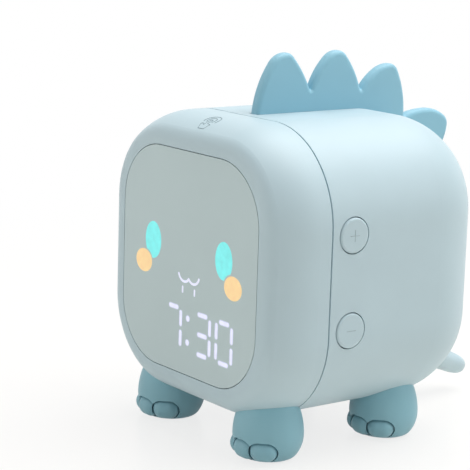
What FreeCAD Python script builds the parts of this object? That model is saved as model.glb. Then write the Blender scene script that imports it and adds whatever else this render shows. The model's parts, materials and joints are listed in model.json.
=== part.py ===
import FreeCAD, Part
import math
import os
from FreeCAD import Vector

os.makedirs("parts", exist_ok=True)

# Kids alarm clock with night light, in the shape of a small spiny animal.
# Millimetres. The origin is on the table under the middle of the body, +Z is up,
# the face looks along -Y and +X is on the right of someone who looks at the face.

# Body, a rounded box with soft elliptical rims
body_width = 88.1
body_depth = 80.8
body_height = 87.5
belly_clearance = 10.84
corner_radius = 28.5
front_rim_in = 8.0
front_rim_deep = 14.5
rear_rim_in = 14.3
rear_rim_deep = 19.8
wall = 2.2
front_wall = 3.2
seam_back = 18.9
seam_groove_width = 0.5
seam_groove_depth = 0.6
lip_thickness = 1.0
lip_length = 2.5
lip_fit = 0.1

# Face panel and the pieces that light it
panel_border = 1.75
panel_thickness = 1.8
panel_ledge = 2.4
panel_fit = 0.25
carrier_thickness = 1.2
carrier_fit = 0.2
baffle_depth = 6.0
baffle_inset = 1.2
pocket_fit = 0.5
board_thickness = 1.6
display_board_margin = 1.3
display_board_corner = 6.0
led_size = 1.2
led_height = 0.8
night_pocket_radius = 2.4
night_light_margin = 2.0
night_light_places = [(0, 1), (0, -1), (0.75, 0.75), (-0.75, 0.75), (1, -0.35), (-1, -0.35)]
display_screw_inset = 3.6
display_screw_bite = 5.0

# Drawing on the face, measured from the middle of the panel
eye_x, eye_z = 18.1, 4.35
eye_width, eye_height = 8.4, 11.4
cheek_x, cheek_z = 22.9, -2.85
cheek_width, cheek_height = 8.6, 7.2
cheek_gap = 0.5
display_x = 0.95
mouth_z = -3.45
mouth_half = 5.15
mouth_drop = 2.0
mouth_peak = 0.9
mouth_stroke = 0.75
whisker_x, whisker_z, whisker_length = 3.05, -7.2, 1.5
digits_z = -20.05
digit_width, digit_height = 7.5, 12.2
digit_pitch = 10.8
colon_room = 4.05
segment_length, segment_stroke = 4.7, 1.15
colon_radius, colon_half = 0.8, 3.7

# Buttons on both sides, with their switches
button_radius = 5.2
button_fit = 0.3
button_proud = 0.4
button_edge = 0.7
button_behind_seam = 8.0
button_spacing = 28.0
button_travel = 0.6
guide_wall = 2.0
guide_length = 2.5
flange_extra = 1.2
flange_thickness = 1.2
flange_gap = 0.15
stem_radius = 2.0
stem_length = 0.6
plunger_radius = 1.6
plunger_length = 3.4
plunger_fit = 0.3
plunger_standout = 1.3
switch_size = 6.2
switch_depth = 3.6
dome_radius = 1.5
dome_thickness = 0.3
side_board_half_width = 8.0
side_board_half_height = 20.0
side_post_radius = 2.3
side_post_spacing = 9.0
side_screw_bite = 5.0

# Feet
foot_inset = 18.95
front_foot_behind = 13.0
rear_foot_before = 22.7
foot_radius = 10.6
foot_base_radius = 6.45
foot_neck_radius = 5.5
foot_neck_height = 19.0
foot_bulge_height = 7.0
foot_boss_height = 6.0
foot_screw_drop = 8.0
toe_straight = 0.9
toe_radius = 3.2
toe_rise = 4.0
toe_proud = 1.0
toe_spread = 44.0
toe_groove = 0.35
pad_radius = 5.6
pad_thickness = 1.5
pad_proud = 0.3

# Crest, one upright plate in the middle of the back, held by screws from inside
crest_thickness = 4.0
crest_edge = 1.5
crest_seat = 1.0
crest_fit = 0.05
crest_front = -17.6
crest_crease = 0.6
crest_screw_ys = (-6.0, 13.5)
crest_screw_length = 9.0
crest_screw_above = 11.75
crest_drawn_height = 87.5

# Tail
tail_roundness = 2.3
tail_section_points = 12
tail_screw_x, tail_screw_rise, tail_screw_length = 6.0, 22.5, 4.6

# Screws
screw_radius = 1.1
screw_head_radius = 2.2
screw_head_height = 1.3
boss_radius = 2.6

# Case fastening: two screws from below at the seam and two hooks at the top
case_screw_x = 9.0
case_screw_behind = 5.5
case_screw_length = 4.6
case_counterbore = 1.3
counterbore_fit = 0.2
tab_half = 3.2
tab_height = 4.2
hook_x = 14.0
hook_half = 4.0
hook_length = 5.0
hook_height = 2.0
hook_tooth = 1.4
hook_fit = 0.2

# Electronics, with heights measured from the middle of the body
main_board_left, main_board_right = -30.0, 6.0
main_board_below, main_board_above = 14.59, 27.41
board_hole_inset = 3.2
board_screw_bite = 4.0
chip_x, chip_above, chip_size, chip_thickness = -19.0, 2.41, 10.0, 1.6
crystal_x, crystal_above, crystal_radius, crystal_length = -27.0, 11.41, 1.5, 6.0
usb_x, usb_above = -15.0, 12.81
usb_width, usb_height, usb_shell = 8.9, 3.2, 0.3
usb_length = 7.4
usb_fit = 0.1
usb_recess = 0.2
usb_back_wall = 1.2
usb_tongue_width, usb_tongue_thickness, usb_tongue_recess = 6.6, 0.7, 1.0
speaker_x, speaker_above = 19.7, 13.11
speaker_radius = 10.0
speaker_depth = 4.5
speaker_rim_depth = 1.5
speaker_cone_depth = 1.0
speaker_collar_depth = 4.0
gasket_thickness = 0.8
gasket_width = 2.0
speaker_wall = 1.2
speaker_fit = 0.1
sound_hole_radius = 0.55
sound_hole_pitch = 1.9
sound_hole_rings = 3
battery_width, battery_length, battery_height = 30.0, 32.0, 8.0
battery_behind_seam = 26.5
battery_edge = 2.0
battery_pad_thickness = 1.4
cradle_wall = 1.2
cradle_height = 5.0
battery_fit = 0.2
socket_width, socket_depth, socket_height = 6.0, 4.0, 4.0
lead_radius = 0.9
lead_places = {"left": (-20.0, 23.91), "right": (-1.0, 18.91), "battery": (-18.0, -9.59),
               "speaker": (-1.0, 11.41), "touch": (-11.0, 23.91)}
lead_run = 9.0
battery_lead_x = -8.0
ribbon_x, ribbon_above = -5.0, 0.41
ribbon_width, ribbon_thickness = 12.0, 0.6
ribbon_run, ribbon_sag = 10.0, 7.0
touch_width, touch_length, touch_thickness = 14.0, 9.0, 0.4
touch_behind = 10.4
touch_drop = 6.4
touch_lead_behind = 3.0

# Places that follow from the sizes above
side_x = body_width / 2
front_y = -body_depth / 2
rear_y = body_depth / 2
belly_z = belly_clearance
top_z = belly_z + body_height
mid_z = belly_z + body_height / 2
seam_y = front_y + seam_back
core_x = side_x - corner_radius
core_z = body_height / 2 - corner_radius
inner_side_x = side_x - wall
inner_front_y = front_y + front_wall
inner_rear_y = rear_y - wall
inner_floor_z = belly_z + wall
inner_top_z = top_z - wall
panel_inset = front_rim_in + panel_border
panel_back_y = front_y + panel_thickness
carrier_back_y = panel_back_y + carrier_thickness
baffle_back_y = carrier_back_y + baffle_depth
display_back_y = baffle_back_y + board_thickness
opening_inset = panel_inset + panel_ledge
far = 4 * max(body_width, body_depth, body_height)
through = 1.0
button_y = seam_y + button_behind_seam
battery_y = seam_y + battery_behind_seam
foot_x = side_x - foot_inset
front_foot_y = front_y + front_foot_behind
rear_foot_y = rear_y - rear_foot_before
touch_y = front_y + touch_behind
usb_z = mid_z + usb_above
speaker_z = mid_z + speaker_above
chip_z = mid_z + chip_above
crystal_z = mid_z + crystal_above
ribbon_z = mid_z + ribbon_above
main_board_low, main_board_high = mid_z - main_board_below, mid_z + main_board_above
crest_screw_back_z = mid_z + crest_screw_above
crest_stretch = body_height / crest_drawn_height
case_screw_y = seam_y + case_screw_behind
case_screw_top = belly_z + case_counterbore + case_screw_length
foot_boss_top = belly_z + wall + foot_boss_height
main_board_back_y = rear_y - usb_recess - usb_length
main_board_front_y = main_board_back_y - board_thickness
board_hole_places = [(x, z) for x in (main_board_left + board_hole_inset, main_board_right - board_hole_inset)
                     for z in (main_board_low + board_hole_inset, main_board_high - board_hole_inset)]
button_places = [(side, mid_z + up * button_spacing / 2) for side in (-1, 1) for up in (1, -1)]
guide_end_x = inner_side_x - guide_length
guide_radius = button_radius + button_fit + guide_wall
flange_x = guide_end_x - flange_gap
stem_end_x = flange_x - flange_thickness - stem_length
switch_front_x = stem_end_x - plunger_standout
switch_back_x = switch_front_x - switch_depth
side_board_back_x = switch_back_x - board_thickness

nodes = {}


def box(x0, x1, y0, y1, z0, z1):
    return Part.makeBox(x1 - x0, y1 - y0, z1 - z0, Vector(x0, y0, z0))


def rod(start, end, radius):
    axis = end - start
    return Part.makeCylinder(radius, axis.Length, start, axis)


def fuse(shapes):
    if len(shapes) == 1:
        return shapes[0]
    return shapes[0].multiFuse(shapes[1:]).removeSplitter()


def mirrored(shape):
    return shape.mirror(Vector(0, 0, 0), Vector(1, 0, 0))


def loop(points):
    return Part.makePolygon(points + [points[0]])


def rounded_loop(corners):
    """Closed wire through corners (x, z, radius), each corner rounded by an arc."""
    edges = []
    ends = []
    count = len(corners)
    for i in range(count):
        here = Vector(corners[i][0], 0, corners[i][1])
        back = Vector(corners[i - 1][0], 0, corners[i - 1][1]) - here
        on = Vector(corners[(i + 1) % count][0], 0, corners[(i + 1) % count][1]) - here
        back.normalize()
        on.normalize()
        radius = corners[i][2]
        half = back.getAngle(on) / 2
        if radius <= 0:
            ends.append((here, here))
            continue
        reach = radius / math.tan(half)
        middle = back + on
        middle.normalize()
        centre = here + middle * (radius / math.sin(half))
        first = here + back * reach
        last = here + on * reach
        edges.append(Part.Arc(first, centre - middle * radius, last).toShape())
        ends.append((first, last))
    for i in range(count):
        start = ends[i][1]
        end = ends[(i + 1) % count][0]
        if start.distanceToPoint(end) > 1e-6:
            edges.append(Part.makeLine(start, end))
    return Part.Wire(Part.__sortEdges__(edges))


def upright_plate(wire, y0, y1):
    """Plate of an outline drawn in the plane y = 0, between y0 and y1."""
    face = Part.Face(wire)
    face.translate(Vector(0, y0, 0))
    return face.extrude(Vector(0, y1 - y0, 0))


def rounded_plate(half_width, half_height, radius, y0, y1, z=mid_z):
    corners = [(half_width, z + half_height, radius), (-half_width, z + half_height, radius),
               (-half_width, z - half_height, radius), (half_width, z - half_height, radius)]
    return upright_plate(rounded_loop(corners), y0, y1)


def body_slice(inset, y0, y1):
    """Upright slice of the body's outline, drawn in by inset."""
    return rounded_plate(side_x - inset, body_height / 2 - inset, corner_radius - inset, y0, y1)


def corner_arc(start, corner, end):
    """Arc between two points at the same distance from the corner of their tangents."""
    weight = 2 * math.cos((corner - start).getAngle(end - start))
    return Part.Arc(start, (start + corner * weight + end) * (1 / (2 + weight)), end).toShape()


def soft_turn(start, corner, end):
    """Two tangent arcs that follow the ellipse whose end tangents meet at corner."""
    first, last, span = corner - start, end - corner, end - start
    legs = first.Length, last.Length
    turn = first.getAngle(last)
    first.normalize()
    last.normalize()
    flatness = (min(legs) / max(legs)) ** 0.29
    tight = min(legs) * flatness * math.tan(turn / 4) / math.tan(turn / 2)
    near, away = (first, last) if legs[0] <= legs[1] else (last, first)
    spread = span.dot(away) + tight * (1 - near.dot(away))
    slack = (span.dot(span) - 2 * tight * span.dot(near)) / (2 * spread)
    reach = (tight, slack) if legs[0] <= legs[1] else (slack, tight)
    one, two = start + first * reach[0], end - last * reach[1]
    join = one + (two - one) * (reach[0] / (reach[0] + reach[1]))
    return [corner_arc(start, one, join), corner_arc(join, two, end)]


def body_form(inset, front_inset=None):
    """The whole body as one solid, drawn in by inset on every side."""
    y0 = front_y + (inset if front_inset is None else front_inset)
    y1 = rear_y - inset
    radius = corner_radius - inset
    rim_start, rim_end = Vector(radius - front_rim_in, y0, 0), Vector(radius, y0 + front_rim_deep, 0)
    back_start, back_end = Vector(radius, y1 - rear_rim_deep, 0), Vector(radius - rear_rim_in, y1, 0)
    edges = [Part.makeLine(Vector(0, y0, 0), rim_start)]
    edges += soft_turn(rim_start, Vector(radius, y0, 0), rim_end)
    edges.append(Part.makeLine(rim_end, back_start))
    edges += soft_turn(back_start, Vector(radius, y1, 0), back_end)
    edges.append(Part.makeLine(back_end, Vector(0, y1, 0)))
    edges.append(Part.makeLine(Vector(0, y1, 0), Vector(0, y0, 0)))
    profile = Part.Face(Part.Wire(edges))
    corner = profile.revolve(Vector(0, 0, 0), Vector(0, -1, 0), 90)
    side = profile.extrude(Vector(0, 0, 2 * core_z))
    upright = profile.copy()
    upright.rotate(Vector(0, 0, 0), Vector(0, -1, 0), 90)
    roof = upright.extrude(Vector(2 * core_x, 0, 0))
    corner.translate(Vector(core_x, 0, core_z))
    side.translate(Vector(core_x, 0, -core_z))
    roof.translate(Vector(-core_x, 0, core_z))
    low = Vector(0, 0, 1)
    middle = box(-core_x, core_x, y0, y1, -core_z, core_z)
    right = [corner, corner.mirror(Vector(0, 0, 0), low), side]
    solids = [middle, roof, roof.mirror(Vector(0, 0, 0), low)] + right + [mirrored(s) for s in right]
    form = fuse(solids)
    form.translate(Vector(0, 0, mid_z))
    return form


def screw(seat, direction, length):
    """Pan head screw whose head stands on seat and whose shank runs along direction."""
    direction.normalize()
    head = rod(seat - direction * screw_head_height, seat, screw_head_radius)
    shank = rod(seat, seat + direction * length, screw_radius)
    return fuse([head, shank])


def path(points):
    """Straight runs joined by tangent arcs through a list of points."""
    edges = []
    start = points[0]
    for i in range(1, len(points) - 1):
        back = points[i - 1] - points[i]
        on = points[i + 1] - points[i]
        shorter = min(back.Length, on.Length)
        back.normalize()
        on.normalize()
        half = back.getAngle(on) / 2
        reach = 0.45 * shorter
        radius = reach * math.tan(half)
        middle = back + on
        middle.normalize()
        first = points[i] + back * reach
        last = points[i] + on * reach
        centre = points[i] + middle * (radius / math.sin(half))
        edges.append(Part.makeLine(start, first))
        edges.append(Part.Arc(first, centre - middle * radius, last).toShape())
        start = last
    edges.append(Part.makeLine(start, points[-1]))
    return Part.Wire(edges)


def lead(points, radius=lead_radius):
    """Round wire along a path."""
    spine = path(points)
    circle = Part.Wire(Part.makeCircle(radius, points[0], points[1] - points[0]))
    return spine.makePipeShell([circle], True, False)


outer_form = body_form(0)
inner_form = body_form(wall, front_wall)
boss_limit = body_form(wall / 2)


def front_part(shape):
    return shape.common(box(-far, far, -far, seam_y, -far, far))


def rear_part(shape):
    return shape.common(box(-far, far, seam_y, far, -far, far))


# Crest outline, seen from +X. A mark with a share is a corner that the curve rounds: the curve
# touches the line to the next mark at that share of it. A mark without one is a crease.
def over_top(y, height, share=None):
    return Vector(y, 0, top_z + height), share


def behind_top(reach, drop, share=None):
    return Vector(rear_y + reach, 0, top_z - drop * crest_stretch), share


def behind_belly(reach, rise, share=None):
    return Vector(rear_y + reach, 0, belly_z + rise * crest_stretch), share


crest_marks = [
    over_top(crest_front, -0.3),
    over_top(crest_front + 1.6, 18.1, 0.69),
    over_top(-2.0, 18.1, 1),
    over_top(3.1, 6.3),
    over_top(7.2, 18.2, 0.55),
    over_top(19.2, 18.2, 1),
    over_top(23.2, 5.5),
    over_top(28.5, 13.4, 0.49),
    behind_top(1.6, -13.4, 1),
    behind_top(1.4, 3.5),
    behind_top(4.6, 1.6, 0.40),
    behind_top(21.0, 1.6, 0.45),
    behind_top(20.1, 14.3, 1),
    behind_top(10.3, 24.1),
    behind_top(24.1, 23.8, 0.60),
    behind_top(27.2, 38.8, 1),
    behind_top(13.9, 43.4),
    behind_belly(26.1, 45.2, 0.62),
    behind_belly(28.6, 30.2, 1),
    behind_belly(15.8, 22.1),
    behind_belly(32.5, 26.6, 0.40),
    behind_belly(30.8, 9.7, 1),
    behind_belly(26.2, 0.2),
]
crest_root = [behind_belly(11.0, 10.0), behind_belly(-4.0, 30.0),
              behind_top(-4.0, 24.0), behind_top(-18.0, 6.0), over_top(crest_front, -4.0)]


def crest_wire():
    spots = [spot for spot, share in crest_marks]
    edges = []
    here = spots[0]
    last = len(spots) - 1
    for i in range(1, last):
        back, on = spots[i - 1] - spots[i], spots[i + 1] - spots[i]
        back.normalize()
        on.normalize()
        if crest_marks[i][1] is None:
            start, end = spots[i] + back * crest_crease, spots[i] + on * crest_crease
            edges.append(corner_arc(start, spots[i], end))
        elif crest_marks[i + 1][1] is None:
            end = spots[i + 1] if i + 1 == last else spots[i + 1] - on * crest_crease
            edges += soft_turn(here, spots[i], end)
        else:
            end = spots[i] + (spots[i + 1] - spots[i]) * crest_marks[i][1]
            edges += soft_turn(here, spots[i], end)
        here = end
    root = [here] + [spot for spot, share in crest_root] + [spots[0]]
    edges += [Part.makeLine(root[i], root[i + 1]) for i in range(len(root) - 1)]
    return Part.Wire(Part.__sortEdges__(edges))


def crest_blank(thickness, edge):
    plate = Part.Face(crest_wire()).extrude(Vector(0, thickness, 0))
    plate.translate(Vector(0, -thickness / 2, 0))
    if edge > 0:
        rims = [e for e in plate.Edges if abs(abs(e.CenterOfMass.y) - thickness / 2) < 1e-6]
        plate = plate.makeFillet(edge, rims)
    plate.rotate(Vector(0, 0, 0), Vector(0, 0, 1), 90)
    return plate


# Tail stations: behind the rear face, above the belly, tilt, half height, half width
tail_stations = [
    (-4.0, 27.8, 0, 14.4, 11.8),
    (-0.6, 27.6, 2, 14.0, 11.7),
    (3.2, 22.4, 15, 9.4, 11.1),
    (6.8, 16.6, 25, 6.6, 10.0),
    (11.2, 10.6, 33, 5.4, 8.8),
    (16.8, 4.8, 36, 4.6, 7.6),
    (22.0, 1.6, 30, 3.9, 6.4),
    (26.5, -0.4, 26, 3.5, 5.4),
    (30.4, -2.0, 24, 3.2, 4.6),
    (32.8, -2.9, 24, 2.4, 3.2),
    (34.2, -3.4, 24, 0.9, 1.1),
]


def tail_section(station, inset):
    reach, rise, tilt, half_height, half_width = station
    up = math.radians(tilt)
    high = max(half_height - inset, 0.25)
    wide = max(half_width - inset, 0.25)
    points = []
    for i in range(tail_section_points):
        turn = 2 * math.pi * i / tail_section_points
        c, s = math.cos(turn), math.sin(turn)
        u = wide * math.copysign(abs(c) ** (2 / tail_roundness), c)
        v = high * math.copysign(abs(s) ** (2 / tail_roundness), s)
        points.append(Vector(u, rear_y + reach + v * math.sin(up), belly_z + rise + v * math.cos(up)))
    curve = Part.BSplineCurve()
    curve.interpolate(Points=points, PeriodicFlag=True)
    return Part.Wire(curve.toShape())


def tail_form(inset):
    return Part.makeLoft([tail_section(station, inset) for station in tail_stations], True, False)


def make_crest_and_tail():
    seat_form = body_form(crest_seat)
    tail_core = tail_form(crest_seat)
    crest = crest_blank(crest_thickness, crest_edge).cut(seat_form).cut(tail_core)
    groove = crest_blank(crest_thickness + 2 * crest_fit, 0)
    shell_groove = groove.cut(seat_form)
    tail = tail_form(0).cut(outer_form).cut(groove.cut(tail_core))
    return largest(crest), largest(tail), shell_groove


def largest(shape):
    return max(shape.Solids, key=lambda solid: solid.Volume)


# Outlines of the lit figures, in the plane y = 0
def oval(x, z, width, height, extra=0.0):
    half_width = width / 2 + extra
    half_height = height / 2 + extra
    centre = Vector(x, 0, z)
    tall = half_height >= half_width
    major = Vector(0, 0, half_height) if tall else Vector(half_width, 0, 0)
    minor = Vector(half_width, 0, 0) if tall else Vector(0, 0, half_height)
    curve = Part.Ellipse(centre + major, centre + minor, centre)
    return Part.Wire(curve.toShape())


def bar(x0, z0, x1, z1, stroke):
    """Straight stroke with round ends."""
    start, end = Vector(x0, 0, z0), Vector(x1, 0, z1)
    along = end - start
    along.normalize()
    across = Vector(-along.z, 0, along.x) * (stroke / 2)
    cap = along * (stroke / 2)
    edges = [Part.makeLine(start + across, end + across),
             Part.Arc(end + across, end + cap, end - across).toShape(),
             Part.makeLine(end - across, start - across),
             Part.Arc(start - across, start - cap, start + across).toShape()]
    return Part.Wire(edges)


def curved_bar(start, middle, end, stroke):
    """Stroke with round ends along an arc through three points."""
    circle = Part.Arc(start, middle, end).toShape().Curve
    centre = circle.Center
    half = stroke / 2

    def moved(point, distance):
        ray = point - centre
        ray.normalize()
        return point + ray * distance

    def cap(point, other):
        ray = point - centre
        ray.normalize()
        tangent = Vector(-ray.z, 0, ray.x)
        if tangent.dot(other - point) > 0:
            tangent = tangent * -1
        return point + tangent * half

    edges = [Part.Arc(moved(start, half), moved(middle, half), moved(end, half)).toShape(),
             Part.Arc(moved(end, half), cap(end, middle), moved(end, -half)).toShape(),
             Part.Arc(moved(end, -half), moved(middle, -half), moved(start, -half)).toShape(),
             Part.Arc(moved(start, -half), cap(start, middle), moved(start, half)).toShape()]
    return Part.Wire(edges)


def figure(wires, y0, y1):
    return [upright_plate(wire, y0, y1) for wire in wires]


segment_places = {
    "a": (0, 1, True), "g": (0, 0, True), "d": (0, -1, True),
    "b": (1, 0.5, False), "c": (1, -0.5, False), "f": (-1, 0.5, False), "e": (-1, -0.5, False),
}


def segment_wires(digit_x, letters, stroke=segment_stroke, length=segment_length):
    wires = []
    for letter in letters:
        across, up, level = segment_places[letter]
        x = digit_x + across * digit_width / 2
        z = mid_z + digits_z + up * digit_height / 2
        run = (length - stroke) / 2
        if level:
            wires.append(bar(x - run, z, x + run, z, stroke))
        else:
            wires.append(bar(x, z - run, x, z + run, stroke))
    return wires


hour_x = display_x - colon_room / 2 - digit_pitch / 2
tens_x = display_x + colon_room / 2 + digit_pitch / 2
digit_places = [(hour_x, "abc"), (tens_x, "abgcd"), (tens_x + digit_pitch, "abcdef")]


def eye_solids(y0, y1, extra=0.0):
    solids = []
    for side in (-1, 1):
        eye = upright_plate(oval(side * eye_x, mid_z + eye_z, eye_width, eye_height, extra), y0, y1)
        cheek = upright_plate(
            oval(side * cheek_x, mid_z + cheek_z, cheek_width, cheek_height, cheek_gap - extra), y0, y1)
        solids.append(eye.cut(cheek))
    return solids


def cheek_solids(y0, y1, extra=0.0):
    wires = [oval(side * cheek_x, mid_z + cheek_z, cheek_width, cheek_height, extra) for side in (-1, 1)]
    return figure(wires, y0, y1)


def mouth_solids(y0, y1, extra=0.0):
    stroke = mouth_stroke + 2 * extra
    z = mid_z + mouth_z
    peak = Vector(display_x, 0, z - mouth_peak)
    halves = []
    for side in (-1, 1):
        end = Vector(display_x + side * mouth_half, 0, z)
        low = Vector(display_x + side * mouth_half / 2, 0, z - mouth_drop)
        halves.append(upright_plate(curved_bar(peak, low, end, stroke), y0, y1))
    solids = [fuse(halves)]
    for side in (-1, 1):
        x = display_x + side * whisker_x
        top = mid_z + whisker_z
        solids += figure([bar(x, top, x, top - whisker_length, stroke)], y0, y1)
    return solids


def digit_solids(y0, y1, extra=0.0):
    wires = []
    for x, letters in digit_places:
        wires += segment_wires(x, letters, segment_stroke + 2 * extra, segment_length + 2 * extra)
    solids = figure(wires, y0, y1)
    for up in (-1, 1):
        z = mid_z + digits_z + up * colon_half
        solids.append(rod(Vector(display_x, y0, z), Vector(display_x, y1, z), colon_radius + extra))
    return solids


def make_display():
    panel = body_slice(panel_inset + panel_fit, front_y, panel_back_y)
    groups = {"eye_lenses": eye_solids, "cheek_lenses": cheek_solids,
              "mouth_lenses": mouth_solids, "digit_lenses": digit_solids}
    for name, make in groups.items():
        lenses = make(front_y, panel_back_y)
        panel = panel.cut(Part.makeCompound(lenses))
        nodes[name] = Part.makeCompound(lenses)
    nodes["face_panel"] = panel
    nodes["lens_carrier"] = body_slice(opening_inset + carrier_fit, panel_back_y, carrier_back_y)

    baffle = body_slice(opening_inset + baffle_inset, carrier_back_y, baffle_back_y)
    leds = []
    led_front_y = baffle_back_y - led_height
    for make in groups.values():
        for pocket in make(carrier_back_y, baffle_back_y, pocket_fit):
            baffle = baffle.cut(pocket)
            middle = pocket.BoundBox.Center
            leds.append(box(middle.x - led_size / 2, middle.x + led_size / 2, led_front_y, baffle_back_y,
                            middle.z - led_size / 2, middle.z + led_size / 2))
    nodes["display_leds"] = Part.makeCompound(leds)

    night_leds = []
    edge_inset = opening_inset + baffle_inset + night_pocket_radius + night_light_margin
    for across, up in night_light_places:
        x = across * (side_x - edge_inset)
        z = mid_z + up * (body_height / 2 - edge_inset)
        centre = Vector(x, carrier_back_y, z)
        baffle = baffle.cut(rod(centre, centre + Vector(0, baffle_depth, 0), night_pocket_radius))
        night_leds.append(box(x - led_size / 2, x + led_size / 2, led_front_y, baffle_back_y,
                              z - led_size / 2, z + led_size / 2))
    nodes["light_baffle"] = baffle
    nodes["night_light_leds"] = Part.makeCompound(night_leds)

    half_width = side_x - opening_inset + display_board_margin
    half_height = body_height / 2 - opening_inset + display_board_margin
    board = rounded_plate(half_width, half_height, display_board_corner, baffle_back_y, display_back_y)
    screws = []
    bosses = []
    for sx in (-1, 1):
        for sz in (-1, 1):
            x = sx * (half_width - display_screw_inset)
            z = mid_z + sz * (half_height - display_screw_inset)
            foot = Vector(x, front_y + front_wall / 2, z)
            face = Vector(x, baffle_back_y, z)
            seat = Vector(x, display_back_y, z)
            hole = rod(Vector(x, baffle_back_y - display_screw_bite, z), seat, screw_radius)
            bosses.append(rod(foot, face, boss_radius).cut(hole))
            board = board.cut(hole)
            screws.append(screw(seat, Vector(0, -1, 0), board_thickness + display_screw_bite))
    nodes["display_board"] = board
    nodes["display_board_screws"] = Part.makeCompound(screws)
    return bosses


def make_front_shell(bosses):
    shell = front_part(outer_form.cut(inner_form))
    collar = body_slice(wall / 2, seam_y - lip_length, seam_y)
    lip = body_slice(wall + lip_fit, seam_y - lip_length, seam_y + lip_length)
    bore = body_slice(wall + lip_fit + lip_thickness, seam_y - lip_length, seam_y + lip_length)
    collar_ring, lip_ring = collar.cut(bore), lip.cut(bore)
    for side, z in button_places:
        lip_ring = lip_ring.cut(rod(Vector(side * core_x, button_y, z), Vector(side * side_x, button_y, z),
                                    guide_radius + carrier_fit))
    adds = [collar_ring, lip_ring] + bosses
    for side in (-1, 1):
        tab = box(side * case_screw_x - tab_half, side * case_screw_x + tab_half,
                  seam_y - lip_length, case_screw_y + tab_half, inner_floor_z, inner_floor_z + tab_height)
        adds.append(tab)
        hook = box(side * hook_x - hook_half, side * hook_x + hook_half,
                   seam_y - lip_length, seam_y + hook_length, inner_top_z - hook_height, inner_top_z)
        tooth = box(side * hook_x - hook_half, side * hook_x + hook_half,
                    seam_y + hook_length - hook_tooth, seam_y + hook_length,
                    inner_top_z - hook_height, inner_top_z + hook_tooth / 2)
        adds += [hook, tooth]
    touch_block = box(-touch_width / 2, touch_width / 2, touch_y - touch_length / 2,
                      touch_y + touch_length / 2, top_z - touch_drop, top_z)
    adds.append(touch_block.common(boss_limit))
    shell = fuse([shell] + adds)
    cuts = [body_slice(panel_inset, front_y, panel_back_y),
            body_slice(opening_inset, panel_back_y, inner_front_y),
            seam_groove()]
    for side in (-1, 1):
        x = side * case_screw_x
        start = Vector(x, case_screw_y, belly_z)
        cuts.append(rod(start, Vector(x, case_screw_y, case_screw_top), screw_radius))
        cuts.append(foot_hole(side, front_foot_y))
    return shell.cut(Part.makeCompound(cuts))


def seam_groove():
    outside = body_slice(-1, seam_y - seam_groove_width / 2, seam_y + seam_groove_width / 2)
    inside = body_slice(seam_groove_depth, seam_y - seam_groove_width / 2, seam_y + seam_groove_width / 2)
    return outside.cut(inside)


def foot_hole(side, y):
    x = side * foot_x
    return rod(Vector(x, y, belly_z - foot_screw_drop), Vector(x, y, foot_boss_top), screw_radius)


def foot_boss(side, y):
    x = side * foot_x
    boss = rod(Vector(x, y, belly_z), Vector(x, y, foot_boss_top), boss_radius)
    return boss.common(boss_limit)


def rear_boss(x, z, y0):
    return rod(Vector(x, y0, z), Vector(x, rear_y, z), boss_radius).common(boss_limit)


def slot_solid(x, z, width, height, y0, y1):
    return upright_plate(bar(x - (width - height) / 2, z, x + (width - height) / 2, z, height), y0, y1)


def sound_holes():
    holes = []
    for ring in range(sound_hole_rings):
        copies = 4 * ring if ring else 1
        for i in range(copies):
            turn = 2 * math.pi * i / copies
            x = speaker_x + ring * sound_hole_pitch * math.cos(turn)
            z = speaker_z + ring * sound_hole_pitch * math.sin(turn)
            start = Vector(x, inner_rear_y - through, z)
            holes.append(rod(start, Vector(x, rear_y + through, z), sound_hole_radius))
    return holes


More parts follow.
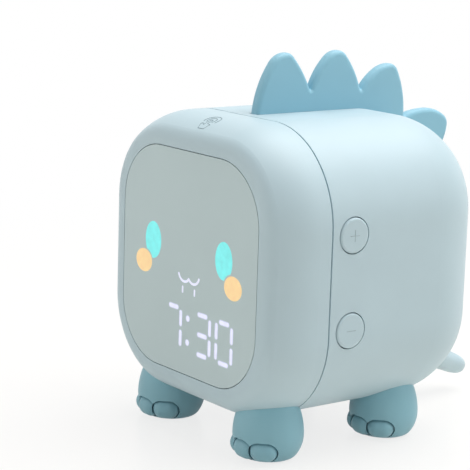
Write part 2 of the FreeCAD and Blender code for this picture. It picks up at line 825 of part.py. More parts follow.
def make_rear_shell(groove):
    shell = rear_part(outer_form.cut(inner_form))
    adds = []
    cuts = [groove, seam_groove()]
    for side, z in button_places:
        guide = rod(Vector(side * (side_x - wall / 2), button_y, z), Vector(side * guide_end_x, button_y, z),
                    guide_radius)
        adds.append(guide.common(boss_limit))
        cuts.append(rod(Vector(side * (side_x + through), button_y, z),
                        Vector(side * (guide_end_x - through), button_y, z), button_radius + button_fit))
    for side in (-1, 1):
        for up in (-1, 1):
            z = mid_z + up * side_post_spacing / 2
            post = rod(Vector(side * (side_x - wall / 2), button_y, z),
                       Vector(side * switch_back_x, button_y, z), side_post_radius)
            adds.append(post)
            cuts.append(rod(Vector(side * (switch_back_x + side_screw_bite), button_y, z),
                            Vector(side * (switch_back_x - through), button_y, z), screw_radius))
        adds.append(foot_boss(side, rear_foot_y))
        cuts.append(foot_hole(side, rear_foot_y))
        x = side * case_screw_x
        below = Vector(x, case_screw_y, belly_z - through)
        cuts.append(rod(below, Vector(x, case_screw_y, case_screw_top), screw_radius))
        cuts.append(rod(below, Vector(x, case_screw_y, belly_z + case_counterbore),
                        screw_head_radius + counterbore_fit))
        cuts.append(box(side * hook_x - hook_half - hook_fit, side * hook_x + hook_half + hook_fit,
                        seam_y + hook_length - hook_tooth - hook_fit, seam_y + hook_length + hook_fit,
                        inner_top_z - through, inner_top_z + hook_tooth / 2 + hook_fit))
        start = Vector(side * tail_screw_x, inner_rear_y - through, belly_z + tail_screw_rise)
        cuts.append(rod(start, start + Vector(0, wall + 2 * through, 0), screw_radius))
    for x, z in board_hole_places:
        adds.append(rear_boss(x, z, main_board_back_y))
        cuts.append(rod(Vector(x, main_board_back_y - through, z),
                        Vector(x, main_board_back_y + board_screw_bite, z), screw_radius))
    collar_front = Vector(speaker_x, inner_rear_y - speaker_collar_depth, speaker_z)
    adds.append(rod(collar_front, Vector(speaker_x, rear_y - wall / 2, speaker_z),
                    speaker_radius + speaker_fit + speaker_wall))
    cuts.append(rod(collar_front, Vector(speaker_x, inner_rear_y, speaker_z), speaker_radius + speaker_fit))
    half_width = battery_width / 2 + battery_fit
    half_length = battery_length / 2 + battery_fit
    cradle = box(-half_width - cradle_wall, half_width + cradle_wall,
                 battery_y - half_length - cradle_wall, battery_y + half_length + cradle_wall,
                 belly_z + wall / 2, inner_floor_z + cradle_height)
    cradle_bore = box(-half_width, half_width, battery_y - half_length, battery_y + half_length,
                      inner_floor_z, inner_floor_z + cradle_height)
    adds.append(cradle.common(boss_limit).cut(cradle_bore))
    cuts.append(slot_solid(usb_x, usb_z, usb_width + 2 * usb_fit, usb_height + 2 * usb_fit,
                           inner_rear_y - through, rear_y + through))
    cuts += sound_holes()
    for y in crest_screw_ys:
        cuts.append(rod(Vector(0, y, inner_top_z - through), Vector(0, y, top_z + through), screw_radius))
    start = Vector(0, inner_rear_y - through, crest_screw_back_z)
    cuts.append(rod(start, start + Vector(0, wall + 2 * through, 0), screw_radius))
    shell = fuse([shell] + adds)
    return largest(shell.cut(Part.makeCompound(cuts)))


def make_crest_screws(crest, tail):
    screws = []
    for y in crest_screw_ys:
        screws.append(screw(Vector(0, y, inner_top_z), Vector(0, 0, 1), crest_screw_length))
    screws.append(screw(Vector(0, inner_rear_y, crest_screw_back_z), Vector(0, 1, 0), crest_screw_length))
    nodes["crest_screws"] = Part.makeCompound(screws)
    tail_screws = []
    for side in (-1, 1):
        seat = Vector(side * tail_screw_x, inner_rear_y, belly_z + tail_screw_rise)
        tail_screws.append(screw(seat, Vector(0, 1, 0), tail_screw_length))
    nodes["tail_screws"] = Part.makeCompound(tail_screws)
    nodes["spine_crest"] = largest(crest.cut(nodes["crest_screws"]))
    nodes["tail"] = largest(tail.cut(nodes["tail_screws"]))


def capsule(straight, radius):
    """Rod about the X axis with a half ball on each end."""
    slant = radius * math.sqrt(0.5)
    edges = [Part.makeLine(Vector(straight, radius, 0), Vector(-straight, radius, 0))]
    for side in (-1, 1):
        edges.append(Part.Arc(Vector(side * straight, radius, 0), Vector(side * (straight + slant), slant, 0),
                              Vector(side * (straight + radius), 0, 0)).toShape())
    edges.append(Part.makeLine(Vector(-straight - radius, 0, 0), Vector(straight + radius, 0, 0)))
    wire = Part.Wire(Part.__sortEdges__(edges))
    return Part.Face(wire).revolve(Vector(0, 0, 0), Vector(1, 0, 0), 360)


def make_foot(side, y):
    """Squat round foot with three toes round its front, seated on the curved belly."""
    base = pad_proud
    bulge = base + foot_bulge_height
    top = Vector(0, 0, foot_neck_height)
    neck = Vector(foot_neck_radius, 0, foot_neck_height)
    floor_edge = Vector(foot_base_radius, 0, base)
    widest = Vector(foot_radius, 0, bulge)
    edges = [Part.makeLine(Vector(0, 0, base), floor_edge)]
    edges += soft_turn(floor_edge, Vector(foot_radius, 0, base), widest)
    edges += soft_turn(widest, Vector(foot_radius, 0, foot_neck_height), neck)
    edges += [Part.makeLine(neck, top), Part.makeLine(top, Vector(0, 0, base))]
    foot = Part.Face(Part.Wire(edges)).revolve(Vector(0, 0, 0), Vector(0, 0, 1), 360)
    sink = 1 - (toe_rise - base) / foot_bulge_height
    surface = foot_base_radius + (foot_radius - foot_base_radius) * math.sqrt(1 - sink ** 2)
    toe_reach = surface + toe_proud - toe_radius
    for i in (-1, 0, 1):
        turn = i * toe_spread
        groove = capsule(toe_straight, toe_radius + toe_groove)
        groove.translate(Vector(0, -toe_reach - 2 * toe_groove, toe_rise))
        toe = capsule(toe_straight, toe_radius)
        toe.translate(Vector(0, -toe_reach, toe_rise))
        for egg in (groove, toe):
            egg.rotate(Vector(0, 0, 0), Vector(0, 0, 1), turn)
        foot = foot.cut(groove).fuse(toe)
    foot.translate(Vector(side * foot_x, y, 0))
    ground = Vector(side * foot_x, y, 0)
    pad_room = rod(ground, ground + Vector(0, 0, pad_thickness), pad_radius)
    foot = foot.cut(outer_form).cut(pad_room).cut(foot_hole(side, y))
    return largest(foot)


def make_feet():
    pads = []
    screws = []
    for end, y in (("front", front_foot_y), ("rear", rear_foot_y)):
        for side, hand in ((-1, "left"), (1, "right")):
            x = side * foot_x
            nodes[f"{end}_{hand}_foot"] = make_foot(side, y)
            pads.append(rod(Vector(x, y, 0), Vector(x, y, pad_thickness), pad_radius))
            length = foot_boss_top - belly_z + foot_screw_drop
            screws.append(screw(Vector(x, y, foot_boss_top), Vector(0, 0, -1), length))
    nodes["foot_pads"] = Part.makeCompound(pads)
    nodes["foot_screws"] = Part.makeCompound(screws)


def make_buttons():
    names = {(1, 1): "plus", (1, -1): "minus", (-1, 1): "alarm", (-1, -1): "light"}
    switches = []
    domes = []
    for side, z in button_places:
        name = names[(side, 1 if z > mid_z else -1)]

        def at(x):
            return Vector(side * x, button_y, z)

        cap = rod(at(flange_x - flange_thickness), at(side_x + button_proud), button_radius)
        rim = [e for e in cap.Edges if e.BoundBox.XLength < 1e-6
               and abs(abs(e.BoundBox.Center.x) - side_x - button_proud) < 1e-6]
        cap = cap.makeFillet(button_edge, rim)
        flange = rod(at(flange_x - flange_thickness), at(flange_x), button_radius + flange_extra)
        stem = rod(at(stem_end_x), at(flange_x - flange_thickness), stem_radius)
        nodes[f"{name}_button"] = fuse([cap, flange, stem])
        nodes[f"{name}_plunger"] = rod(at(stem_end_x), at(stem_end_x - plunger_length), plunger_radius)
        bore_end = stem_end_x - plunger_length - button_travel - dome_thickness - plunger_fit
        x0, x1 = sorted((side * switch_front_x, side * switch_back_x))
        body = box(x0, x1, button_y - switch_size / 2, button_y + switch_size / 2,
                   z - switch_size / 2, z + switch_size / 2)
        body = body.cut(rod(at(switch_front_x), at(bore_end), plunger_radius + plunger_fit))
        switches.append(body)
        domes.append(rod(at(bore_end), at(bore_end + dome_thickness), dome_radius))
    nodes["switch_bodies"] = Part.makeCompound(switches)
    nodes["switch_domes"] = Part.makeCompound(domes)


def make_side_boards():
    screws = []
    for side, hand in ((-1, "left"), (1, "right")):
        x0, x1 = sorted((side * switch_back_x, side * side_board_back_x))
        board = box(x0, x1, button_y - side_board_half_width, button_y + side_board_half_width,
                    mid_z - side_board_half_height, mid_z + side_board_half_height)
        for up in (-1, 1):
            z = mid_z + up * side_post_spacing / 2
            seat = Vector(side * side_board_back_x, button_y, z)
            board = board.cut(rod(seat, Vector(side * switch_back_x, button_y, z), screw_radius))
            screws.append(screw(seat, Vector(side, 0, 0), board_thickness + side_screw_bite))
        nodes[f"{hand}_button_board"] = board
    nodes["button_board_screws"] = Part.makeCompound(screws)


def make_main_board():
    board = box(main_board_left, main_board_right, main_board_front_y, main_board_back_y,
                main_board_low, main_board_high)
    screws = []
    for x, z in board_hole_places:
        seat = Vector(x, main_board_front_y, z)
        board = board.cut(rod(seat, Vector(x, main_board_back_y, z), screw_radius))
        screws.append(screw(seat, Vector(0, 1, 0), board_thickness + board_screw_bite))
    nodes["main_board"] = board
    nodes["main_board_screws"] = Part.makeCompound(screws)
    usb_front_y = rear_y - usb_recess
    socket = slot_solid(usb_x, usb_z, usb_width, usb_height, main_board_back_y, usb_front_y)
    mouth = slot_solid(usb_x, usb_z, usb_width - 2 * usb_shell, usb_height - 2 * usb_shell,
                       main_board_back_y + usb_back_wall, usb_front_y)
    tongue = box(usb_x - usb_tongue_width / 2, usb_x + usb_tongue_width / 2,
                 main_board_back_y + usb_back_wall, usb_front_y - usb_tongue_recess,
                 usb_z - usb_tongue_thickness / 2, usb_z + usb_tongue_thickness / 2)
    nodes["usb_socket"] = fuse([socket.cut(mouth), tongue])
    nodes["control_chip"] = box(chip_x - chip_size / 2, chip_x + chip_size / 2,
                                main_board_front_y - chip_thickness, main_board_front_y,
                                chip_z - chip_size / 2, chip_z + chip_size / 2)
    crystal_y = main_board_front_y - crystal_radius
    nodes["clock_crystal"] = rod(Vector(crystal_x, crystal_y, crystal_z),
                                 Vector(crystal_x, crystal_y, crystal_z + crystal_length), crystal_radius)


def make_speaker():
    front = inner_rear_y - gasket_thickness
    back = front - speaker_depth

    def at(y):
        return Vector(speaker_x, y, speaker_z)

    gasket = rod(at(front), at(inner_rear_y), speaker_radius)
    nodes["speaker_gasket"] = gasket.cut(rod(at(front), at(inner_rear_y), speaker_radius - gasket_width))
    rim_back = front - speaker_rim_depth
    basket = rod(at(rim_back), at(front), speaker_radius)
    cup = rod(at(back + speaker_rim_depth), at(rim_back), speaker_radius * 0.75)
    magnet = rod(at(back), at(back + speaker_rim_depth), speaker_radius * 0.6)
    cone_room = Part.makeCone(speaker_radius * 0.45, speaker_radius * 0.82, speaker_cone_depth,
                              at(front - speaker_cone_depth), Vector(0, 1, 0))
    nodes["speaker"] = fuse([basket, cup, magnet]).cut(cone_room)
    return back


def make_battery():
    low = inner_floor_z
    y0, y1 = battery_y - battery_length / 2, battery_y + battery_length / 2
    half = battery_width / 2
    nodes["battery_pad"] = box(-half, half, y0, y1, low, low + battery_pad_thickness).common(inner_form)
    cell = box(-half, half, y0, y1, low + battery_pad_thickness, low + battery_pad_thickness + battery_height)
    long_edges = [e for e in cell.Edges if abs(e.BoundBox.YLength - battery_length) < 1e-6]
    nodes["battery"] = cell.makeFillet(battery_edge, long_edges)


def make_wiring(speaker_back_y):
    face = main_board_front_y
    socket_front = face - socket_depth
    sockets = []
    for x, above in lead_places.values():
        z = mid_z + above
        sockets.append(box(x - socket_width / 2, x + socket_width / 2, socket_front, face,
                           z - socket_height / 2, z + socket_height / 2))
    nodes["lead_sockets"] = Part.makeCompound(sockets)

    start = display_back_y + socket_depth
    half = ribbon_width / 2 + 1
    ends = [box(ribbon_x - half, ribbon_x + half, y, y + socket_depth,
                ribbon_z - socket_height / 2, ribbon_z + socket_height / 2)
            for y in (display_back_y, socket_front)]
    nodes["ribbon_sockets"] = Part.makeCompound(ends)
    low = ribbon_z - ribbon_sag
    route = [Vector(ribbon_x, start, ribbon_z), Vector(ribbon_x, start + ribbon_run, ribbon_z),
             Vector(ribbon_x, start + 2 * ribbon_run, low),
             Vector(ribbon_x, socket_front - 2 * ribbon_run, low),
             Vector(ribbon_x, socket_front - ribbon_run, ribbon_z), Vector(ribbon_x, socket_front, ribbon_z)]
    section = loop([Vector(ribbon_x + across * ribbon_width / 2, start, ribbon_z + up * ribbon_thickness / 2)
                    for across, up in ((-1, -1), (1, -1), (1, 1), (-1, 1))])
    nodes["display_ribbon"] = path(route).makePipeShell([section], True, False)

    def socket_end(name):
        x, above = lead_places[name]
        z = mid_z + above
        return [Vector(x, socket_front - lead_run, z), Vector(x, socket_front, z)]

    for side, hand in ((-1, "left"), (1, "right")):
        board_x = side * side_board_back_x
        nodes[f"{hand}_button_lead"] = lead(
            [Vector(board_x, button_y, mid_z), Vector(board_x - side * lead_run, button_y, mid_z)]
            + socket_end(hand))
    battery_end = battery_y + battery_length / 2
    battery_z = inner_floor_z + battery_pad_thickness + battery_height * 0.7
    nodes["battery_lead"] = lead([Vector(battery_lead_x, battery_end, battery_z),
                                  Vector(battery_lead_x, battery_end + lead_run / 2, battery_z)]
                                 + socket_end("battery"))
    speaker_lead_x = speaker_x - speaker_radius * 0.35
    nodes["speaker_lead"] = lead([Vector(speaker_lead_x, speaker_back_y, speaker_z),
                                  Vector(speaker_lead_x, speaker_back_y - lead_run, speaker_z)]
                                 + socket_end("speaker"))
    touch_z = top_z - touch_drop - touch_thickness
    touch_lead_y = touch_y + touch_lead_behind
    nodes["touch_lead"] = lead([Vector(0, touch_lead_y, touch_z), Vector(0, touch_lead_y, touch_z - lead_run)]
                               + socket_end("touch"))
    nodes["touch_plate"] = box(-touch_width / 2, touch_width / 2, touch_y - touch_length / 2,
                               touch_y + touch_length / 2, touch_z, touch_z + touch_thickness)


def make_case_screws():
    screws = []
    for side in (-1, 1):
        seat = Vector(side * case_screw_x, case_screw_y, belly_z + case_counterbore)
        screws.append(screw(seat, Vector(0, 0, 1), case_screw_length))
    nodes["case_screws"] = Part.makeCompound(screws)


crest_solid, tail_solid, crest_groove = make_crest_and_tail()
front_bosses = make_display()
front_bosses += [foot_boss(side, front_foot_y) for side in (-1, 1)]
nodes["front_shell"] = largest(make_front_shell(front_bosses))
nodes["rear_shell"] = make_rear_shell(crest_groove)
make_crest_screws(crest_solid, tail_solid)
make_feet()
make_buttons()
make_side_boards()
make_main_board()
speaker_back = make_speaker()
make_battery()
make_wiring(speaker_back)
make_case_screws()

for name, shape in nodes.items():
    if not shape.isValid():
        print("not valid:", name)
    shape.exportStep(f"parts/{name}.step")
    size = shape.BoundBox
    print(f"{name}: {len(shape.Solids)} solids, {shape.Volume:.1f} mm3,"
          f" x {size.XMin:.1f}..{size.XMax:.1f}, y {size.YMin:.1f}..{size.YMax:.1f},"
          f" z {size.ZMin:.1f}..{size.ZMax:.1f}")
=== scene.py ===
import json
import math

import bmesh
import bpy
from mathutils import Matrix, Vector


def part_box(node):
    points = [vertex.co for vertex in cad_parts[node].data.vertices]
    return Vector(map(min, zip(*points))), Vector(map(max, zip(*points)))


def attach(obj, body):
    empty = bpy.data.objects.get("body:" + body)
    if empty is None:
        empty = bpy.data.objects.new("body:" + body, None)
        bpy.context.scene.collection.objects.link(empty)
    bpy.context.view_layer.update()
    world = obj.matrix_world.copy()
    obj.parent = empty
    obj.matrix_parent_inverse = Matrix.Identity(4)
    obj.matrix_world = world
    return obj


MM = 0.001

# The photograph's camera, about the origin under the middle of the body
PHOTO_WIDTH_PX = 470
AZIMUTH_DEG, ELEVATION_DEG, ROLL_DEG = 53.067, 11.208, 1.767
CAMERA_DISTANCE = 560.7 * MM
AIM_RIGHT, AIM_UP = -18.40 * MM, 59.13 * MM
FOCAL_PX = 1810.4
SENSOR_MM = 36.0
CLIP_START = 10 * MM


def srgb(red, green, blue):
    def linear(value):
        value /= 255
        return value / 12.92 if value <= 0.04045 else ((value + 0.055) / 1.055) ** 2.4
    return (linear(red), linear(green), linear(blue), 1.0)


BODY = srgb(185, 207, 215)
PANEL = srgb(191, 210, 213)
CREST = srgb(139, 191, 210)
FEET = srgb(138, 187, 201)
# Dark tone of the signs: painted shade, standing in for the shadow inside their engraved grooves
GROOVE_SHADE = srgb(96, 121, 130)
# Fainter painted shade for the shallow engraved signs on the keys
FAINT_GROOVE_SHADE = srgb(164, 183, 190)
TURQUOISE = srgb(128, 243, 242)
APRICOT = srgb(253, 216, 158)
LAVENDER = srgb(224, 226, 248)
HALO = srgb(206, 212, 232)

# Fine signs on the plastic, and the soft ring of light round the digits
KEY_LINE_RADIUS = 0.11 * MM
TOUCH_LINE_RADIUS = 0.10 * MM
TOUCH_SIGN_Y = -34.2 * MM
RAY_START_ABOVE = 10 * MM
HALO_WIDTH = 0.26 * MM
HALO_LIFT = 0.012 * MM
FLAT_WITHIN = 1e-6

# Level of the plain surroundings, and the lights in metres and watts
WORLD_LEVEL = 0.39
LIGHT_AIM = (0, 0, 50 * MM)
LIGHTS = {
    "overhead_softbox": {"place": (0.05, 0.24, 0.74), "size": 0.8, "watts": 6.0, "colour": (1.0, 1.0, 1.0)},
    "rear_right_fill": {"place": (0.55, 0.45, 0.40), "size": 0.4, "watts": 0.75, "colour": (0.97, 0.99, 1.0)},
    "front_fill": {"place": (-0.35, -0.75, 0.30), "size": 0.5, "watts": 1.0, "colour": (1.0, 0.99, 0.97)},
}

# Floor: it fades to plain white between two distances from the middle, in metres
FLOOR_REACH = 3.0
FLOOR_BELOW = 0.05 * MM
FLOOR_SHADES = (srgb(246, 241, 233), srgb(248, 244, 237))
FLOOR_SHADE_SCALE = 6
FLOOR_ROUGHNESS = 0.22
FLOOR_SPECULAR = 0.45
FADE_START, FADE_END = 0.10, 0.42
WHITE_AT_START = 0.78

# Plastic and metal: noise scales in cycles per metre, and how much the gloss varies
SHADE_SCALE = 28
GLOSS_SCALE = 160
GLOSS_VARIATION = 0.04
GRAIN_STRENGTH = 0.5

# Lit lenses: range of the glow and of the unlit tone, as shares of the colour, and range of roughness
DIFFUSER_SCALE = 420
GLOW_RANGE = (0.94, 1.04)
UNLIT_RANGE = (0.22, 0.26)
LENS_GLOSS_SCALE = 900
LENS_ROUGHNESS = (0.42, 0.5)

# Circuit boards: the tracks' pattern, its two greens and the narrow step between them
TRACK_SCALE = 300
BOARD_GREENS = (srgb(16, 74, 44), srgb(28, 104, 62))
TRACK_STEP = (0.45, 0.52)
TRACK_HEIGHT = 0.02 * MM
BOARD_GLOSS_SCALE = 500
BOARD_ROUGHNESS = (0.3, 0.42)


def scaled(colour, factor):
    """The same colour with its three channels times the factor, and opaque."""
    return tuple(min(1.0, channel * factor) for channel in colour[:3]) + (1.0,)


class Nodes:
    """Short helper that adds nodes to one material and links them."""

    def __init__(self, name):
        self.material = bpy.data.materials.new(name)
        self.material.use_nodes = True
        self.tree = self.material.node_tree
        self.tree.nodes.clear()
        self.output = self.add("ShaderNodeOutputMaterial")

    def add(self, kind, **values):
        node = self.tree.nodes.new(kind)
        for key, value in values.items():
            setattr(node, key, value)
        return node

    def link(self, source, target):
        self.tree.links.new(source, target)

    def noise(self, scale, detail=2.0, roughness=0.5):
        place = self.add("ShaderNodeTexCoord")
        node = self.add("ShaderNodeTexNoise")
        self.link(place.outputs["Object"], node.inputs["Vector"])
        node.inputs["Scale"].default_value = scale
        node.inputs["Detail"].default_value = detail
        node.inputs["Roughness"].default_value = roughness
        return node.outputs["Fac"]

    def ramp(self, source, low, high, start=0.3, end=0.7):
        node = self.add("ShaderNodeValToRGB")
        node.color_ramp.elements[0].position = start
        node.color_ramp.elements[0].color = low
        node.color_ramp.elements[1].position = end
        node.color_ramp.elements[1].color = high
        self.link(source, node.inputs["Fac"])
        return node.outputs["Color"]

    def spread(self, source, low, high):
        node = self.add("ShaderNodeMapRange")
        node.inputs["To Min"].default_value = low
        node.inputs["To Max"].default_value = high
        self.link(source, node.inputs["Value"])
        return node.outputs["Result"]

    def bump(self, source, depth, strength=1.0):
        node = self.add("ShaderNodeBump")
        node.inputs["Distance"].default_value = depth
        node.inputs["Strength"].default_value = strength
        self.link(source, node.inputs["Height"])
        return node.outputs["Normal"]

    def principled(self):
        node = self.add("ShaderNodeBsdfPrincipled")
        self.link(node.outputs["BSDF"], self.output.inputs["Surface"])
        return node


def moulded(name, colour, roughness=0.5, grain=0.012, shade=0.03, sheen=0.0, metallic=0.0, grain_scale=2600):
    """Plain surface with a fine grain, whose depth is in mm, and a faint change of shade and of gloss."""
    nodes = Nodes(name)
    shader = nodes.principled()
    tone = nodes.ramp(nodes.noise(SHADE_SCALE, 3), scaled(colour, 1 - shade), scaled(colour, 1 + shade))
    low, high = roughness - GLOSS_VARIATION, roughness + GLOSS_VARIATION
    gloss = nodes.spread(nodes.noise(GLOSS_SCALE, 3), low, high)
    relief = nodes.bump(nodes.noise(grain_scale, 2, 0.6), grain * MM, GRAIN_STRENGTH)
    nodes.link(tone, shader.inputs["Base Color"])
    nodes.link(gloss, shader.inputs["Roughness"])
    nodes.link(relief, shader.inputs["Normal"])
    shader.inputs["Sheen Weight"].default_value = sheen
    shader.inputs["Metallic"].default_value = metallic
    return nodes.material


def lit(name, colour, strength):
    """Back-lit lens: an even glow with a soft mottling of the diffuser behind it."""
    nodes = Nodes(name)
    shader = nodes.principled()
    mottling = nodes.noise(DIFFUSER_SCALE, 2)
    glow = nodes.ramp(mottling, *[scaled(colour, share) for share in GLOW_RANGE])
    tone = nodes.ramp(mottling, *[scaled(colour, share) for share in UNLIT_RANGE])
    gloss = nodes.spread(nodes.noise(LENS_GLOSS_SCALE), *LENS_ROUGHNESS)
    nodes.link(glow, shader.inputs["Emission Color"])
    shader.inputs["Emission Strength"].default_value = strength
    nodes.link(tone, shader.inputs["Base Color"])
    nodes.link(gloss, shader.inputs["Roughness"])
    return nodes.material


def circuit_board(name):
    """Green lacquer over copper tracks, which show as lighter, slightly raised patches."""
    nodes = Nodes(name)
    shader = nodes.principled()
    tracks = nodes.noise(TRACK_SCALE, 6)
    tone = nodes.ramp(tracks, *BOARD_GREENS, *TRACK_STEP)
    gloss = nodes.spread(nodes.noise(BOARD_GLOSS_SCALE), *BOARD_ROUGHNESS)
    nodes.link(tone, shader.inputs["Base Color"])
    nodes.link(gloss, shader.inputs["Roughness"])
    nodes.link(nodes.bump(tracks, TRACK_HEIGHT), shader.inputs["Normal"])
    return nodes.material


def make_materials():
    return {
        "body": moulded("body_plastic", BODY, 0.46, sheen=0.08),
        "panel": moulded("panel_plastic", PANEL, 0.40, grain=0.006, shade=0.015),
        "crest": moulded("crest_plastic", CREST, 0.50, sheen=0.10),
        "feet": moulded("feet_plastic", FEET, 0.50, sheen=0.10),
        "eye_light": lit("eye_light", TURQUOISE, 0.76),
        "cheek_light": lit("cheek_light", APRICOT, 0.78),
        "white_light": lit("white_light", LAVENDER, 0.90),
        "clear_plastic": moulded("clear_plastic", srgb(214, 220, 222), 0.25, grain=0.004),
        "white_plastic": moulded("white_plastic", srgb(226, 226, 222), 0.5),
        "circuit_board": circuit_board("circuit_board"),
        "steel": moulded("steel", srgb(176, 178, 180), 0.32, grain=0.004, metallic=1.0),
        "copper": moulded("copper", srgb(196, 128, 88), 0.3, grain=0.004, metallic=1.0),
        "rubber": moulded("rubber", srgb(70, 84, 88), 0.75, grain=0.03, grain_scale=1500),
        "foam": moulded("foam", srgb(48, 48, 50), 0.9, grain=0.08, grain_scale=1200),
        "black_plastic": moulded("black_plastic", srgb(34, 35, 37), 0.45),
        "battery_wrap": moulded("battery_wrap", srgb(158, 162, 166), 0.35, grain=0.01, metallic=0.6),
        "wire": moulded("wire_cover", srgb(168, 52, 46), 0.45),
        # The touch sign's dark tone is painted shade of its engraved groove
        "line": moulded("engraved_sign_painted_shade", GROOVE_SHADE, 0.6),
        # The key signs' tone is a fainter painted shade of their engraved grooves
        "faint_groove_shade": moulded("key_sign_painted_shade", FAINT_GROOVE_SHADE, 0.6),
        "halo": lit("lens_halo", HALO, 0.80),
    }


def dress_frame(frame, materials):
    """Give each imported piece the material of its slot; the feet have a tone of their own."""
    slots = {entry["node"]: entry["material_slot"] for entry in frame["record"]["subparts"]}
    for name, piece in frame["nodes"].items():
        key = "feet" if name.endswith("_foot") else slots[name]
        piece.data.materials.clear()
        piece.data.materials.append(materials[key])


def surface_curve(name, strokes, radius, material, body):
    """Fine tubes along strokes, each a list of points, that move with the named body."""
    curve = bpy.data.curves.new(name, "CURVE")
    curve.dimensions = "3D"
    curve.bevel_depth = radius
    curve.bevel_resolution = 3
    curve.use_fill_caps = True
    for points in strokes:
        spline = curve.splines.new("POLY")
        spline.points.add(len(points) - 1)
        for target, point in zip(spline.points, points):
            target.co = (*point, 1.0)
    piece = bpy.data.objects.new(name, curve)
    bpy.context.scene.collection.objects.link(piece)
    curve.materials.append(material)
    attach(piece, body)


# Signs, in mm about the middle of the sign
def arc(cx, cy, radius, start_deg, end_deg, steps=16):
    turns = [math.radians(start_deg + (end_deg - start_deg) * i / steps) for i in range(steps + 1)]
    return [(cx + radius * math.cos(t), cy + radius * math.sin(t)) for t in turns]


PLUS_SIGN = [[(-1.7, 0), (1.7, 0)], [(0, -1.7), (0, 1.7)]]
MINUS_SIGN = [[(-1.7, 0), (1.7, 0)]]
BELL_SIGN = [
    arc(0, 0.2, 1.5, 0, 180) + [(-1.5, -0.9), (-2.0, -1.4), (2.0, -1.4), (1.5, -0.9), (1.5, 0.2)],
    arc(0, -1.5, 0.5, 180, 360, 8),
]
LAMP_SIGN = [
    arc(0, 0.4, 1.5, -60, 240) + [(-0.75, -1.5), (0.75, -1.5), (0.75, -0.9)],
    [(-0.5, -2.0), (0.5, -2.0)],
]
KEY_SIGNS = {"plus": PLUS_SIGN, "minus": MINUS_SIGN, "alarm": BELL_SIGN, "light": LAMP_SIGN}

# A fingertip under two rings
TOUCH_SIGN = [
    arc(0, 1.4, 1.6, -40, 220),
    arc(0, 1.4, 2.9, -20, 200),
    [(-0.5, 1.2), (-0.5, -1.3), (-1.6, -0.6), (-2.2, -1.0), (-0.9, -3.0), (1.7, -3.0), (2.2, -0.9),
     (0.5, -0.5), (0.5, 1.2)] + arc(0, 1.2, 0.5, 0, 180, 8),
]


def sign_on_key(name, strokes, material):
    """Fine sign in the middle of a key's flat face."""
    low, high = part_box(f"{name}_button")
    middle = (low + high) / 2
    side = 1 if middle.x > 0 else -1
    face_x = high.x if side > 0 else low.x
    placed = []
    for stroke in strokes:
        placed.append([Vector((face_x, middle.y + side * u * MM, middle.z + v * MM)) for u, v in stroke])
    surface_curve(f"{name}_sign", placed, KEY_LINE_RADIUS, material, f"{name}_key")


def sign_on_shell(frame, material):
    """Fine sign laid on the curved top of the front shell, where rays from above meet it."""
    shell = frame["nodes"]["front_shell"]
    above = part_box("front_shell")[1].z + RAY_START_ABOVE
    down = Vector((0, 0, -1))
    strokes = []
    for stroke in TOUCH_SIGN:
        points = []
        for u, v in stroke:
            found, place, _, _ = shell.ray_cast(Vector((u * MM, TOUCH_SIGN_Y + v * MM, above)), down)
            if found:
                points.append(place)
        strokes.append(points)
    surface_curve("touch_sign", strokes, TOUCH_LINE_RADIUS, material, "clock")


def rim_directions(mesh):
    """Rim edges of the flat front faces, and at each of their corners the way that leads off the face."""
    front = min(vert.co.y for vert in mesh.verts)
    flat = {face for face in mesh.faces if all(vert.co.y < front + FLAT_WITHIN for vert in face.verts)}
    rims = [edge for edge in mesh.edges if sum(face in flat for face in edge.link_faces) == 1]
    outward = {}
    for edge in rims:
        face = next(face for face in edge.link_faces if face in flat)
        middle = (edge.verts[0].co + edge.verts[1].co) / 2
        along = (edge.verts[1].co - edge.verts[0].co).normalized()
        away = along.cross(Vector((0, 1, 0)))
        if away.dot(face.calc_center_median() - middle) > 0:
            away = -away
        for vert in edge.verts:
            outward[vert] = outward.get(vert, Vector((0, 0, 0))) + away
    return rims, outward


def halo_round_lenses(name, node, material):
    """Soft ring on the panel round each lit lens, where its light spreads into the plastic."""
    source = bmesh.new()
    source.from_mesh(node.data)
    rims, outward = rim_directions(source)
    lift = Vector((0, -HALO_LIFT, 0))
    ring = bmesh.new()
    inner = {vert: ring.verts.new(vert.co + lift) for vert in outward}
    outer = {}
    for vert, away in outward.items():
        outer[vert] = ring.verts.new(vert.co + lift + away.normalized() * HALO_WIDTH)
    for edge in rims:
        first, second = edge.verts
        ring.faces.new((inner[first], inner[second], outer[second], outer[first]))
    bmesh.ops.recalc_face_normals(ring, faces=ring.faces)
    mesh = bpy.data.meshes.new(name)
    ring.to_mesh(mesh)
    ring.free()
    source.free()
    if sum(polygon.normal.y * polygon.area for polygon in mesh.polygons) > 0:
        mesh.flip_normals()
    mesh.materials.append(material)
    piece = bpy.data.objects.new(name, mesh)
    bpy.context.scene.collection.objects.link(piece)
    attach(piece, "clock")


def make_camera():
    """The photograph's camera, aimed at a point that AIM_RIGHT and AIM_UP set off from the origin."""
    azimuth, elevation = math.radians(AZIMUTH_DEG), math.radians(ELEVATION_DEG)
    back = Vector((math.sin(azimuth) * math.cos(elevation), -math.cos(azimuth) * math.cos(elevation),
                   math.sin(elevation)))
    right = (-back).cross(Vector((0, 0, 1))).normalized()
    up = right.cross(-back)
    roll = math.radians(ROLL_DEG)
    axis_x = right * math.cos(roll) + up * math.sin(roll)
    axis_y = -right * math.sin(roll) + up * math.cos(roll)
    place = right * AIM_RIGHT + Vector((0, 0, AIM_UP)) + back * CAMERA_DISTANCE
    camera = bpy.data.objects.new("camera", bpy.data.cameras.new("camera"))
    camera.data.sensor_width = SENSOR_MM
    camera.data.lens = FOCAL_PX / PHOTO_WIDTH_PX * SENSOR_MM
    camera.data.clip_start = CLIP_START
    turn = Matrix((axis_x, axis_y, back)).transposed().to_4x4()
    camera.matrix_world = Matrix.Translation(place) @ turn
    bpy.context.scene.collection.objects.link(camera)
    bpy.context.scene.camera = camera


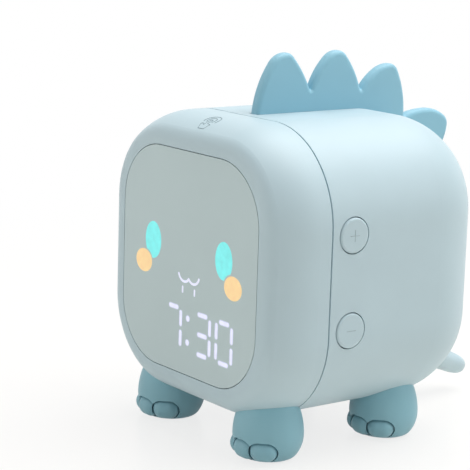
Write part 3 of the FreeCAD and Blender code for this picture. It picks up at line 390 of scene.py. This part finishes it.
def make_lights():
    for name, values in LIGHTS.items():
        light = bpy.data.lights.new(name, "AREA")
        light.shape = "DISK"
        light.size = values["size"]
        light.energy = values["watts"]
        light.color = values["colour"]
        lamp = bpy.data.objects.new(name, light)
        lamp.location = values["place"]
        lamp.rotation_euler = (lamp.location - Vector(LIGHT_AIM)).to_track_quat("Z", "Y").to_euler()
        bpy.context.scene.collection.objects.link(lamp)


def seen_directly(tree):
    """1 for rays from the camera and for mirrored or transmitted ones, which show the backdrop."""
    rays = tree.nodes.new("ShaderNodeLightPath")
    total = rays.outputs["Is Camera Ray"]
    for name in ("Is Glossy Ray", "Is Transmission Ray"):
        add = tree.nodes.new("ShaderNodeMath")
        add.operation = "MAXIMUM"
        tree.links.new(total, add.inputs[0])
        tree.links.new(rays.outputs[name], add.inputs[1])
        total = add.outputs["Value"]
    return total


def plain_background(tree, strength):
    background = tree.nodes.new("ShaderNodeBackground")
    background.inputs["Color"].default_value = (1, 1, 1, 1)
    background.inputs["Strength"].default_value = strength
    return background.outputs["Background"]


def make_world():
    """Plain surroundings: a soft level on the object, and white where they are seen directly."""
    world = bpy.data.worlds.new("studio")
    bpy.context.scene.world = world
    world.use_nodes = True
    tree = world.node_tree
    tree.nodes.clear()
    output = tree.nodes.new("ShaderNodeOutputWorld")
    mix = tree.nodes.new("ShaderNodeMixShader")
    tree.links.new(seen_directly(tree), mix.inputs["Fac"])
    tree.links.new(plain_background(tree, WORLD_LEVEL), mix.inputs[1])
    tree.links.new(plain_background(tree, 1.0), mix.inputs[2])
    tree.links.new(mix.outputs["Shader"], output.inputs["Surface"])


def white_share(nodes):
    """How white the floor is made: more of it further out, and only where it is seen directly."""
    place = nodes.add("ShaderNodeTexCoord")
    distance = nodes.add("ShaderNodeVectorMath", operation="LENGTH")
    nodes.link(place.outputs["Object"], distance.inputs[0])
    fade = nodes.add("ShaderNodeMapRange", interpolation_type="SMOOTHSTEP")
    fade.inputs["From Min"].default_value = FADE_START
    fade.inputs["From Max"].default_value = FADE_END
    fade.inputs["To Min"].default_value = WHITE_AT_START
    fade.inputs["To Max"].default_value = 1.0
    nodes.link(distance.outputs["Value"], fade.inputs["Value"])
    share = nodes.add("ShaderNodeMath", operation="MULTIPLY")
    nodes.link(fade.outputs["Result"], share.inputs[0])
    nodes.link(seen_directly(nodes.tree), share.inputs[1])
    return share.outputs["Value"]


def floor_material():
    """Off-white glossy table top that fades into the white backdrop and keeps the object's shadow."""
    nodes = Nodes("floor_paper")
    shader = nodes.principled()
    nodes.link(nodes.ramp(nodes.noise(FLOOR_SHADE_SCALE), *FLOOR_SHADES), shader.inputs["Base Color"])
    shader.inputs["Roughness"].default_value = FLOOR_ROUGHNESS
    shader.inputs["Specular IOR Level"].default_value = FLOOR_SPECULAR
    white = nodes.add("ShaderNodeEmission")
    white.inputs["Color"].default_value = (1, 1, 1, 1)
    mix = nodes.add("ShaderNodeMixShader")
    nodes.link(white_share(nodes), mix.inputs["Fac"])
    nodes.link(shader.outputs["BSDF"], mix.inputs[1])
    nodes.link(white.outputs["Emission"], mix.inputs[2])
    nodes.link(mix.outputs["Shader"], nodes.output.inputs["Surface"])
    return nodes.material


def make_floor():
    low, high = -FLOOR_REACH, FLOOR_REACH
    mesh = bpy.data.meshes.new("floor")
    mesh.from_pydata([(low, low, 0), (high, low, 0), (high, high, 0), (low, high, 0)], [], [(0, 1, 2, 3)])
    mesh.materials.append(floor_material())
    floor = bpy.data.objects.new("floor", mesh)
    floor.location.z = -FLOOR_BELOW
    bpy.context.scene.collection.objects.link(floor)


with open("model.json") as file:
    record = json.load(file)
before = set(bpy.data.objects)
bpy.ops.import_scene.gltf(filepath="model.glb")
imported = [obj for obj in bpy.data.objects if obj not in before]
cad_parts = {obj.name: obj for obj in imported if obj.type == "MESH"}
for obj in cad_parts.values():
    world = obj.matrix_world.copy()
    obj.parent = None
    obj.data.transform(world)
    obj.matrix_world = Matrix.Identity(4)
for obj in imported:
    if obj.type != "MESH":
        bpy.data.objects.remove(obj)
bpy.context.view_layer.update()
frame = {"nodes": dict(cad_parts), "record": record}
make_camera()
make_lights()
make_world()
make_floor()
materials = make_materials()
dress_frame(frame, materials)
# Key signs drawn as raised tubes in fainter painted shade, for the shadow in their engraved grooves
for key_name, key_strokes in KEY_SIGNS.items():
    sign_on_key(key_name, key_strokes, materials["faint_groove_shade"])
# Touch sign drawn as raised tubes in painted shade, for the shadow in its engraved groove
sign_on_shell(frame, materials["line"])
halo_round_lenses("digit_halo", frame["nodes"]["digit_lenses"], materials["halo"])
bpy.context.scene.view_settings.view_transform = "Standard"
bpy.context.view_layer.update()
